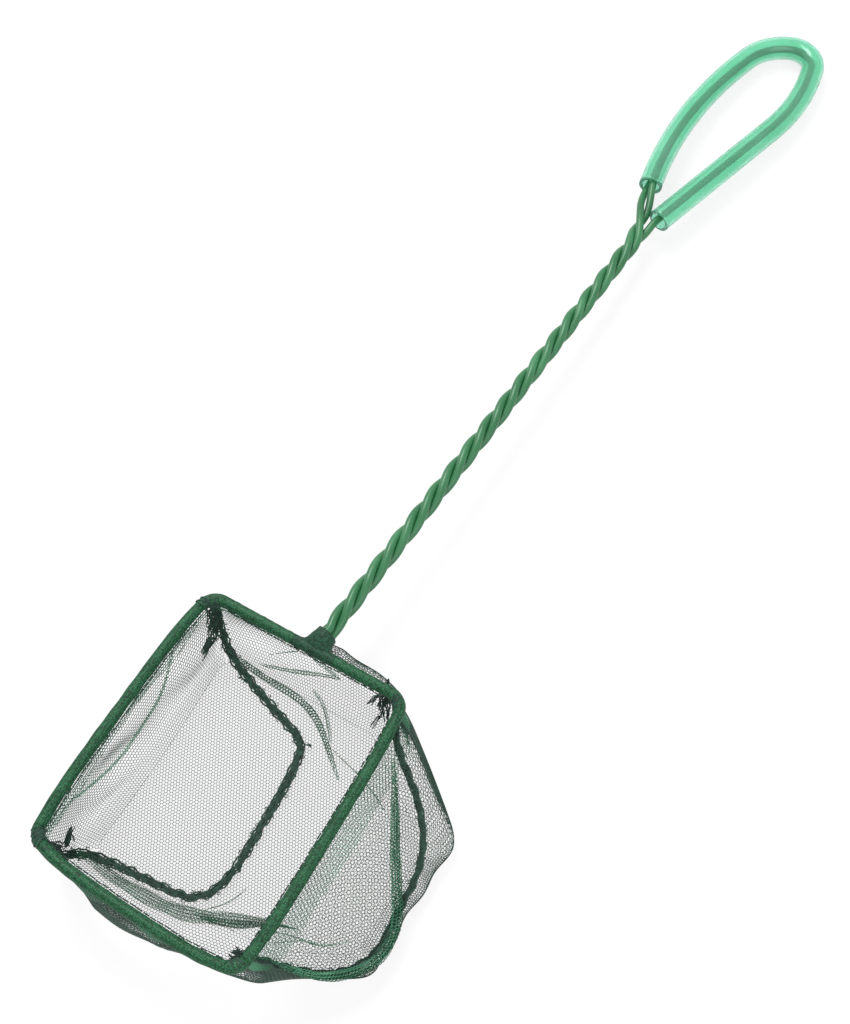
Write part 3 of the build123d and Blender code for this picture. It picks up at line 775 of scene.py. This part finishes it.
# Borders of the end panels: the right one on the wall, closed above the mouth; the left one on the floor
BORDER_STEP = 1.5
ABOVE_MOUTH = 1.3
ON_FLOOR = 1.6
LEFT_OF_BAG = -60
right_border = np.array([wall_place(p) for p in resample(right_seam, BORDER_STEP)])
right_border = np.concatenate([[[right_border[0][0], ABOVE_MOUTH]], right_border,
                               [[right_border[-1][0], ABOVE_MOUTH]]])
left_plan = np.array([p[:2] for p in left_seam if p[2] < ON_FLOOR]) - SHIFT[:2]
left_border = np.concatenate([[[LEFT_OF_BAG, left_plan[0][1]]], left_plan,
                              [[LEFT_OF_BAG, left_plan[-1][1]]]])

# Net of the panels: the sheet that the floor is cut from, heights of ripples and yarn, ripples on the wall
SHEET_WIDE, SHEET_LONG, SHEET_CORNER = 96.0, 84.0, (-32.0, -82.0)
FLOOR_RIPPLE, WALL_RIPPLE = 0.55, 0.8
FLOOR_YARN_Z, LOWEST_YARN_Z = 0.16, 0.14
RIPPLE_ROWS, RIPPLE_SHIFT, RIPPLE_FADE = 26, 40, 5


def floor_net(keep):
    """Yarn of the part of the floor where keep(x, y) holds."""
    edges = honeycomb(SHEET_WIDE, SHEET_LONG, SIDE) + np.array(SHEET_CORNER)
    mid = edges.mean(1)
    edges = edges[inside(mid, floor_in) & keep(mid)]
    z = FLOOR_YARN_Z + FLOOR_RIPPLE * np.clip(ripple(edges[..., 0], edges[..., 1]), 0, 3)
    pts = np.concatenate([edges, z[..., None]], -1) + SHIFT
    return yarns(pts[:, 0], pts[:, 1], np.tile(UP, (len(pts), 1)))


def wall_net(p0, p1, keep, shift=0.0, lift=0.0):
    """Yarn of the wall from girth p0 to p1 where keep(p, t) holds; a second layer is shifted and lifted."""
    edges = honeycomb(p1 - p0, wall_length.max(), SIDE) + np.array([p0 + shift, shift * 0.6])
    p, d = edges[..., 0], edges[..., 1]
    t = d / np.interp(np.mod(p, GIRTH), around_at, length_closed)
    ok = (t.max(-1) <= 1.0) & (p.min(-1) > p0) & (p.max(-1) < p1)
    ok &= keep(np.stack([p.mean(-1), t.mean(-1)], -1))
    p, t = p[ok], t[ok]
    normal = wall_normal(p, t)
    fade = np.clip(np.minimum(t, 1 - t) * RIPPLE_FADE, 0, 1)
    waves = WALL_RIPPLE * fade * ripple(p + RIPPLE_SHIFT * shift, t * RIPPLE_ROWS)
    pts = on_wall(p, t) + normal * (waves + lift * fade)[..., None]
    pts[..., 2] = np.maximum(pts[..., 2], LOWEST_YARN_Z)
    return yarns(pts[:, 0], pts[:, 1], unit(normal.mean(1)))


def above(share):
    """Keeps the yarn of the wall above a share of its height."""
    return lambda m: m[..., 1] > share


near_girth = corner_girth(NEAR_LEFT)
far_girth = corner_girth(FAR_LEFT)
main_net = joined([
    floor_net(lambda m: ~inside(m, left_border)),
    wall_net(near_girth, far_girth, lambda m: ~inside(m, right_border)),
])
left_net = joined([
    floor_net(lambda m: inside(m, left_border)),
    wall_net(far_girth, near_girth + GIRTH, above(0)),
])
right_net = wall_net(right_border[:, 0].min(), right_border[:, 0].max(),
                     lambda m: inside(m, right_border))
main_panel = piece("main_net", *main_net, YARN, smooth=False, slot="green_net",
                   replaces=("main_net_panel",))
left_panel = piece("left_net", *left_net, YARN, smooth=False, slot="green_net",
                   replaces=("left_net_panel",))
right_panel = piece("right_net", *right_net, YARN, smooth=False, slot="green_net",
                    replaces=("right_net_panel",))

# Folds of the net: the places of the photograph that each one runs through, its width and its layers
HANDLE_FOLDS = [
    ([(219, 642), (238, 659), (266, 679), (294, 695), (312, 711), (323, 732), (331, 757), (339, 782)],
     1.8, 4),
    ([(259, 664), (281, 669), (306, 673), (331, 676), (347, 681)], 0.9, 3),
    ([(308, 650), (322, 664), (341, 678)], 1.5, 2),
    ([(312, 689), (322, 701), (328, 720), (331, 745)], 0.9, 3),
    ([(331, 748), (347, 764), (366, 782)], 0.7, 2),
    ([(270, 654), (285, 651), (300, 650)], 0.5, 2),
]
FAR_FOLDS = [
    ([(69, 845), (94, 865), (131, 889), (162, 906), (188, 915), (225, 920), (266, 923), (297, 929)],
     3.0, 3),
    ([(194, 914), (215, 921), (238, 926), (269, 924)], 1.6, 3),
    ([(200, 911), (228, 904), (247, 889)], 0.5, 2),
]
RIGHT_FOLDS = [
    ([(392, 757), (394, 789), (394, 836), (395, 882), (397, 917), (387, 948), (366, 968), (334, 976),
      (300, 972), (269, 959)], 2.4, 7),
    ([(359, 776), (375, 795), (388, 817)], 0.6, 2),
    ([(269, 931), (294, 936), (322, 947), (350, 940)], 0.7, 3),
    ([(269, 943), (300, 939), (322, 945)], 0.6, 2),
]
LEFT_FOLDS = [
    ([(172, 645), (162, 692), (138, 729), (116, 761), (88, 786), (59, 808)], 0.6, 3),
]

# Form of a fold: its edge, tip and waves as shares of the width, the share of yarn kept, and its heights
FOLD_EDGE, FOLD_TIP, FOLD_TAPER = 0.62, 0.15, 0.6
FOLD_WAVE, FOLD_WAVE_RATE = 0.18, 0.55
FOLD_THIN, FOLD_DENSE = 0.12, 1.5
FOLD_BASE, FOLD_LAYER, FOLD_CROWN = 0.2, 0.18, 0.5

# Doubled net under the hem: from which share of the wall's height, its shift and its lift
ALLOWANCE = (above(0.82), 0.33, 0.3)
LEFT_ALLOWANCE = (above(0.8), 0.37, 0.4)


def laid(places, rounds=2):
    """Smooth course over the bag through a few places, with its normals."""
    hits = [seen(x, y) for x, y in places]
    points = rounded(np.array([h[0] for h in hits]), rounds)
    normals = unit(rounded(np.array([h[1] for h in hits]), rounds))
    return points, normals, lengths(points)


def heading(points, d, x, step):
    """Direction of a path at the lengths x."""
    return unit(at_length(points, d, x + step) - at_length(points, d, x - step))


def fold(places, width, layers):
    """A fold of net: several layers of yarn one over the other in a narrow, slightly crowned strip."""
    points, normals, d = laid(places)
    length = d[-1]
    parts = []
    for k in range(layers):
        edges = honeycomb(length, width, SIDE)
        x = edges[..., 0] + rng.uniform(0, SIDE)
        y = edges[..., 1] - width / 2 + rng.uniform(-0.2, 0.2) * width / layers
        keep = (x.max(-1) < length) & (x.min(-1) > 0) & (np.abs(y).max(-1) <= width * FOLD_EDGE)
        dense = FOLD_THIN + FOLD_DENSE * np.sin(np.pi * np.clip(x.mean(-1) / length, 0, 1))
        keep &= rng.uniform(0, 1, len(x)) < dense
        x, y = x[keep], y[keep]
        if len(x) == 0:
            continue
        taper = FOLD_TIP + (1 - FOLD_TIP) * np.clip(np.sin(np.pi * x / length), 0, 1) ** FOLD_TAPER
        taper *= 1 + FOLD_WAVE * np.sin(x * FOLD_WAVE_RATE + k)
        centre = at_length(points, d, x)
        normal = unit(at_length(normals, d, x))
        side = np.cross(normal, heading(points, d, x, 0.4))
        height = FOLD_BASE + FOLD_LAYER * k + FOLD_CROWN * np.clip(1 - (2 * y / width) ** 2, 0, 1)
        pts = centre + side * (y * taper)[..., None] + normal * height[..., None]
        parts.append(yarns(pts[:, 0], pts[:, 1], unit(normal.mean(1))))
    return parts


def folds(rows):
    """All the folds of a list, in its order."""
    return [part for row in rows for part in fold(*row)]


strip_folds = folds(HANDLE_FOLDS + FAR_FOLDS)
right_folds = folds(RIGHT_FOLDS)
left_folds = folds(LEFT_FOLDS)
allowance = wall_net(near_girth, far_girth, *ALLOWANCE)
left_allowance = wall_net(far_girth, near_girth + GIRTH, *LEFT_ALLOWANCE)
main_folds = piece("main_net_folds", *joined(strip_folds + [allowance]), FOLD, smooth=False,
                   slot="green_net")
side_folds = piece("right_net_folds", *joined(right_folds), FOLD, smooth=False, slot="green_net")
tuck_folds = piece("left_net_folds", *joined(left_folds + [left_allowance]), FOLD, smooth=False,
                   slot="green_net")


# Sewing: zigzags as pitch, reach and thread radius, running threads by their offsets, then loose loops
LACE_STEP = 0.5
LACE_LEAN = 0.7
ZIGZAGS = ((0.4, 0.5, 0.22), (0.52, 0.52, 0.2), (0.8, 0.44, 0.24))
RUNNERS = (-0.34, -0.16, 0.02, 0.2, 0.36)
RUNNER_STEP, RUNNER_R = 0.6, 0.24
LOOP_EVERY, LOOP_R = 2.2, 0.11
LEFT_LACE, RIGHT_LACE = 2.9, 2.5

# Tufts of thread: places of the photograph, width, number of threads, seed and thread radius
LEFT_TUFTS = [
    ([(212, 598), (214, 614), (213, 630), (212, 645)], 3.6, 42, 21, 0.16),
    ([(212, 634), (207, 644), (201, 655)], 2.0, 14, 22, 0.16),
    ([(207, 650), (203, 656), (201, 662)], 0.8, 3, 23, 0.1),
    ([(303, 744), (311, 747), (314, 751)], 0.9, 4, 24, 0.1),
    ([(40, 843), (52, 846), (64, 850)], 2.6, 26, 25, 0.16),
    ([(60, 848), (67, 836), (70, 824)], 1.6, 14, 26, 0.16),
    ([(70, 830), (72, 836), (74, 842)], 0.6, 3, 27, 0.1),
]
RIGHT_TUFTS = [
    ([(389, 680), (386, 698), (384, 722)], 3.2, 40, 31, 0.16),
    ([(386, 690), (376, 698), (367, 705)], 1.6, 14, 32, 0.12),
    ([(384, 712), (376, 722), (370, 730)], 1.2, 7, 33, 0.1),
    ([(230, 954), (238, 958), (246, 952)], 3.0, 26, 34, 0.16),
]


def lace(points, width, seed):
    """Overlock threads along a seam, on the side that faces up and inwards."""
    own = np.random.default_rng(seed)
    points = resample(points, LACE_STEP)
    d = np.arange(len(points)) * np.linalg.norm(points[1] - points[0])
    total = d[-1]
    heart = wall.reshape(-1, 3).mean(0)
    inward = heart - points
    inward[:, 2] = 0
    tangent = unit(np.gradient(points, axis=0))
    normal = UP + LACE_LEAN * unit(inward)
    normal = unit(normal - tangent * (normal * tangent).sum(-1, keepdims=True))
    side = np.cross(normal, tangent)

    def spot_at(x, y, z):
        x = np.clip(x, 0, total)
        across = at_length(side, d, x) * np.asarray(y)[:, None]
        return at_length(points, d, x) + across + at_length(normal, d, x) * np.asarray(z)[:, None]

    parts = []
    for pitch, reach, thread in ZIGZAGS:
        count = int(total / pitch)
        x = np.arange(count) * pitch + own.uniform(-0.3, 0.3, count) * pitch
        y = np.where(np.arange(count) % 2, 1, -1) * width * reach * own.uniform(0.72, 1.08, count)
        z = own.uniform(-0.1, 0.4, count)
        parts.append(tube(rounded(spot_at(x, y, z), 1), thread, THREAD_SIDES))
    for offset in RUNNERS:
        x = np.arange(0, total, RUNNER_STEP)
        y = width * (offset + 0.06 * np.sin(x * own.uniform(0.9, 1.6)) + own.uniform(-0.05, 0.05, len(x)))
        parts.append(tube(spot_at(x, y, 0.3 + 0.25 * np.sin(x * 1.3)), RUNNER_R, THREAD_SIDES))
    for _k in range(int(total / LOOP_EVERY)):
        x0 = own.uniform(1, total - 1)
        edge = own.choice([-1, 1]) * width * own.uniform(0.42, 0.55)
        size = own.uniform(0.2, 0.45)
        a = np.linspace(0, own.uniform(3.6, 6.0), 9) + own.uniform(0, 6)
        loop = spot_at(x0 + size * np.cos(a), edge + size * np.sin(a), 0.3 + 0.1 * a / 6)
        parts.append(tube(loop, LOOP_R, THREAD_SIDES))
    return parts


def tuft(places, width, count, seed, thread):
    """Cut ends and gathered threads lying together over the bag."""
    own = np.random.default_rng(seed)
    points, normals, d = laid(places)
    parts = []
    for _k in range(count):
        a = own.uniform(0, 0.35)
        b = own.uniform(0.6, 1.0)
        x = np.linspace(a, b, 10) * d[-1]
        swing = own.uniform(-0.5, 0.5) * width
        y = swing + 0.16 * width * np.sin(x * own.uniform(0.4, 1.2) + own.uniform(0, 6))
        centre = at_length(points, d, x)
        normal = unit(at_length(normals, d, x))
        side = np.cross(normal, heading(points, d, x, 0.3))
        z = own.uniform(0.2, 1.1) + 0.2 * np.sin(x * 1.1)
        parts.append(tube(centre + side * y[:, None] + normal * z[:, None], thread, THREAD_SIDES))
    return parts


def tufts(rows):
    """All the tufts of a list, in its order."""
    return [part for row in rows for part in tuft(*row)]


left_threads = lace(left_seam, LEFT_LACE, 3) + tufts(LEFT_TUFTS)
right_threads = lace(right_seam, RIGHT_LACE, 4) + tufts(RIGHT_TUFTS)
piece("left_overlock", *joined(left_threads), THREAD, slot="dark_thread",
      replaces=("left_overlock_seam",))
piece("right_overlock", *joined(right_threads), THREAD, slot="dark_thread",
      replaces=("right_overlock_seam",))


# Hems: a knitted casing over the wire, a little uneven
CASING_UNEVEN, WRAP_UNEVEN, WRAP_SWELL = 0.06, 0.04, 0.15
COLLAR_LEFT = np.array([ROOT_U - COLLAR_HALF, 0, 0])
COLLAR_RIGHT = np.array([ROOT_U + COLLAR_HALF, 0, 0])


def uneven(count, amount, seed):
    """Irregular rise and fall along a path, about as much as the amount."""
    own = np.random.default_rng(seed)
    x = np.arange(count)
    total = np.zeros(count)
    for _k in range(6):
        total += np.sin(x * own.uniform(0.05, 0.5) + own.uniform(0, 6))
    return amount * total / 3


def casing(name, begin, end, node, seed):
    path = place(np.linspace(begin, end, CASING_STEPS))
    radius = CASING_R + uneven(CASING_STEPS, CASING_UNEVEN, seed)
    piece(name, *tube(path, radius, HEM_SIDES), HEM, slot="green_hem", replaces=(node,))


bends = [hoop_bend(k, WRAP_STEPS) for k in range(len(CORNERS))]
casing("left_casing", bends[0][0][-1], bends[1][0][0], "hem_left", 41)
casing("far_casing", bends[1][0][-1], bends[2][0][0], "hem_far", 42)
casing("right_casing", bends[2][0][-1], bends[3][0][0], "hem_right", 43)
casing("handle_casing_left", COLLAR_LEFT, bends[0][0][0], "hem_handle_left", 44)
casing("handle_casing_right", bends[3][0][-1], COLLAR_RIGHT, "hem_handle_right", 45)

# Corners: the casing's cloth gathered round the bend, with turns of overlock thread
CORNER_NAMES = ("handle_left", "far_left", "far_right", "handle_right")
TURNS, TURN_STEPS, TURN_SIDES, TURN_R, TURN_LIFT = 16, 14, 5, 0.15, 0.18
TURN_FINE = 0.2
for k, name in enumerate(CORNER_NAMES):
    path = bends[k][0]
    swell = CASING_R + WRAP_SWELL * np.sin(np.linspace(0, math.pi, len(path)))
    swell = swell + uneven(len(path), WRAP_UNEVEN, 50 + k)
    piece("corner_cloth_" + name, *tube(place(path), swell, HEM_SIDES), HEM, slot="green_hem",
          replaces=("corner_wrap_" + name,))
    own = np.random.default_rng(60 + k)
    turns = []
    fine = resample(place(path), TURN_FINE)
    _tangent, e1, e2 = along_path(fine)
    for _j in range(TURNS):
        start = own.uniform(0, 0.6) * len(fine)
        run = np.linspace(0, own.uniform(0.2, 0.5), TURN_STEPS) * len(fine)
        x = np.clip(start + run, 0, len(fine) - 1).astype(int)
        a = own.uniform(2.0, 4.4) + np.linspace(0, own.uniform(1.5, 4.0), TURN_STEPS)
        ring = np.cos(a)[:, None] * e1[x] + np.sin(a)[:, None] * e2[x]
        turns.append(tube(fine[x] + ring * (CASING_R + TURN_LIFT), TURN_R, TURN_SIDES))
    piece("corner_thread_" + name, *joined(turns), THREAD, slot="dark_thread")

# Lockstitches along the inner side of the casings
STITCH_IN, STITCH_DOWN, STITCH_END = 1.74, 0.63, 1.8
STITCH_PITCH, STITCH_R, STITCH_RISE = 2.0, 0.19, 0.16
STITCH_STEPS, STITCH_SIDES = 7, 6


def stitches(name, k, node):
    """Stitches of the side that follows corner k."""
    begin, end = bends[k][0][-1], bends[(k + 1) % len(bends)][0][0]
    way = bends[k][2]
    inward = np.cross(UP, way) * STITCH_IN - UP * STITCH_DOWN
    a, b = begin + way * STITCH_END + inward, end - way * STITCH_END + inward
    count = int(np.linalg.norm(b - a) / STITCH_PITCH)
    parts = []
    for j in range(count):
        s = (j + np.linspace(0.06, 0.9, STITCH_STEPS)) / count
        rise = STITCH_RISE * np.sin(np.linspace(0, math.pi, STITCH_STEPS)) + rng.uniform(-0.06, 0.06)
        path = a + (b - a) * s[:, None] + UP * rise[:, None] + np.cross(UP, way) * rng.uniform(-0.1, 0.1)
        parts.append(tube(place(path), STITCH_R, STITCH_SIDES))
    piece(name, *joined(parts), THREAD, slot="dark_thread", replaces=(node,))


for k, name in enumerate(("left", "far", "right", "handle")):
    stitches("stitches_" + name, k, "hem_stitch_" + name)

# Collar: the casing's cloth drawn up the handle, as height, half width and half depth, with gathers
COLLAR_PROFILE = ((-0.9, 6.0, 1.1), (0.2, 5.3, 1.6), (1.0, 4.5, 2.0), (1.9, 3.85, 2.45),
                  (2.8, 3.45, 2.75), (3.7, 3.2, 2.95), (4.5, 3.05, 3.0), (5.2, 2.95, 2.95),
                  (5.6, 2.85, 2.85), (5.6, 2.6, 2.6))
GATHERED_BY = 3
TOP_SLOPE, TOP_FROM, TOP_OVER = 0.5, 4.0, 2.6
BAR_STEPS, BAR_SIDES, BAR_LIFT = 40, 24, 0.03
collar_rings = []
for s, half_t, half_n in COLLAR_PROFILE:
    ring = []
    for k in range(COLLAR_SIDES):
        a = 2 * math.pi * k / COLLAR_SIDES
        strength = min(1.0, max(0.0, s) / GATHERED_BY)
        gather = 1 + strength * (0.03 * math.sin(11 * a + 0.9 * s) + 0.025 * math.sin(5 * a - 1.7 * s))
        lean = TOP_SLOPE * math.cos(a) * max(0.0, s - TOP_FROM) / TOP_OVER
        ring.append(on_handle(s - lean, half_t * math.cos(a) * gather, half_n * math.sin(a) * gather))
    collar_rings.append(ring)
collar_v = place(np.array(collar_rings).reshape(-1, 3))
collar_f = []
for r in range(len(collar_rings) - 1):
    lower, upper = r * COLLAR_SIDES, (r + 1) * COLLAR_SIDES
    for k in range(COLLAR_SIDES):
        j = (k + 1) % COLLAR_SIDES
        collar_f.append((lower + k, lower + j, upper + j, upper + k))
bar = np.linspace(COLLAR_LEFT, COLLAR_RIGHT, BAR_STEPS)
collar_bar = tube(place(bar), CASING_R + BAR_LIFT, BAR_SIDES)
piece("collar_cloth", *joined([(collar_v, collar_f), collar_bar]), SHADED_CLOTH, slot="green_hem",
      replaces=("handle_collar",))

# Floor, light and camera, in metres; the floor shows nearly white to the camera and still takes shadows
TABLE_HALF, TABLE_Z = 4, -0.0002
GLOW_SHARE = 0.8
floor_mesh = bpy.data.meshes.new("floor")
floor_corners = [(x * TABLE_HALF, y * TABLE_HALF, TABLE_Z) for x, y in ((-1, -1), (1, -1), (1, 1), (-1, 1))]
floor_mesh.from_pydata(floor_corners, [], [(0, 1, 2, 3)])
floor = bpy.data.objects.new("floor", floor_mesh)
bpy.context.scene.collection.objects.link(floor)
paper, nodes, links, bsdf = shader("white_table")
bsdf.inputs["Base Color"].default_value = (0.9, 0.9, 0.9, 1)
bsdf.inputs["Roughness"].default_value = 0.9
white = nodes.new("ShaderNodeEmission")
rays = nodes.new("ShaderNodeLightPath")
shown = rays.outputs["Is Camera Ray"]
for kind in ("Is Glossy Ray", "Is Transmission Ray"):
    either = nodes.new("ShaderNodeMath")
    either.operation = "MAXIMUM"
    links.new(shown, either.inputs[0])
    links.new(rays.outputs[kind], either.inputs[1])
    shown = either.outputs["Value"]
share = nodes.new("ShaderNodeMath")
share.operation = "MULTIPLY"
share.inputs[1].default_value = GLOW_SHARE
links.new(shown, share.inputs[0])
mixed = nodes.new("ShaderNodeMixShader")
links.new(share.outputs["Value"], mixed.inputs["Fac"])
links.new(bsdf.outputs["BSDF"], mixed.inputs[1])
links.new(white.outputs["Emission"], mixed.inputs[2])
links.new(mixed.outputs["Shader"], nodes["Material Output"].inputs["Surface"])
floor_mesh.materials.append(paper)

world = bpy.data.worlds.new("studio")
bpy.context.scene.world = world
world.use_nodes = True
world.node_tree.nodes["Background"].inputs["Color"].default_value = (1, 1, 1, 1)
world.node_tree.nodes["Background"].inputs["Strength"].default_value = 0.75


def softbox(name, location, target, size, power):
    light = bpy.data.lights.new(name, "AREA")
    light.energy = power
    light.size = size
    obj = bpy.data.objects.new(name, light)
    obj.location = location
    obj.rotation_euler = (Vector(target) - Vector(location)).to_track_quat("-Z", "Y").to_euler()
    bpy.context.scene.collection.objects.link(obj)


softbox("key", (-0.5, 0.45, 0.9), (0, 0, 0), 0.5, 9.0)
softbox("fill", (0.7, -0.4, 0.8), (0, 0, 0), 0.8, 4.0)

SENSOR = 36.0
camera_data = bpy.data.cameras.new("camera")
camera_data.sensor_fit = "VERTICAL"
camera_data.sensor_height = SENSOR
camera_data.lens = FOCAL * SENSOR / PHOTO_HIGH
camera_data.clip_start = 0.01
camera = bpy.data.objects.new("camera", camera_data)
bpy.context.scene.collection.objects.link(camera)
matrix = camera.matrix_world.copy()
for row in range(3):
    matrix[row] = (right[row], upward[row], -fw[row], spot[row])
camera.matrix_world = matrix
bpy.context.scene.camera = camera
bpy.context.scene.view_settings.view_transform = "Standard"
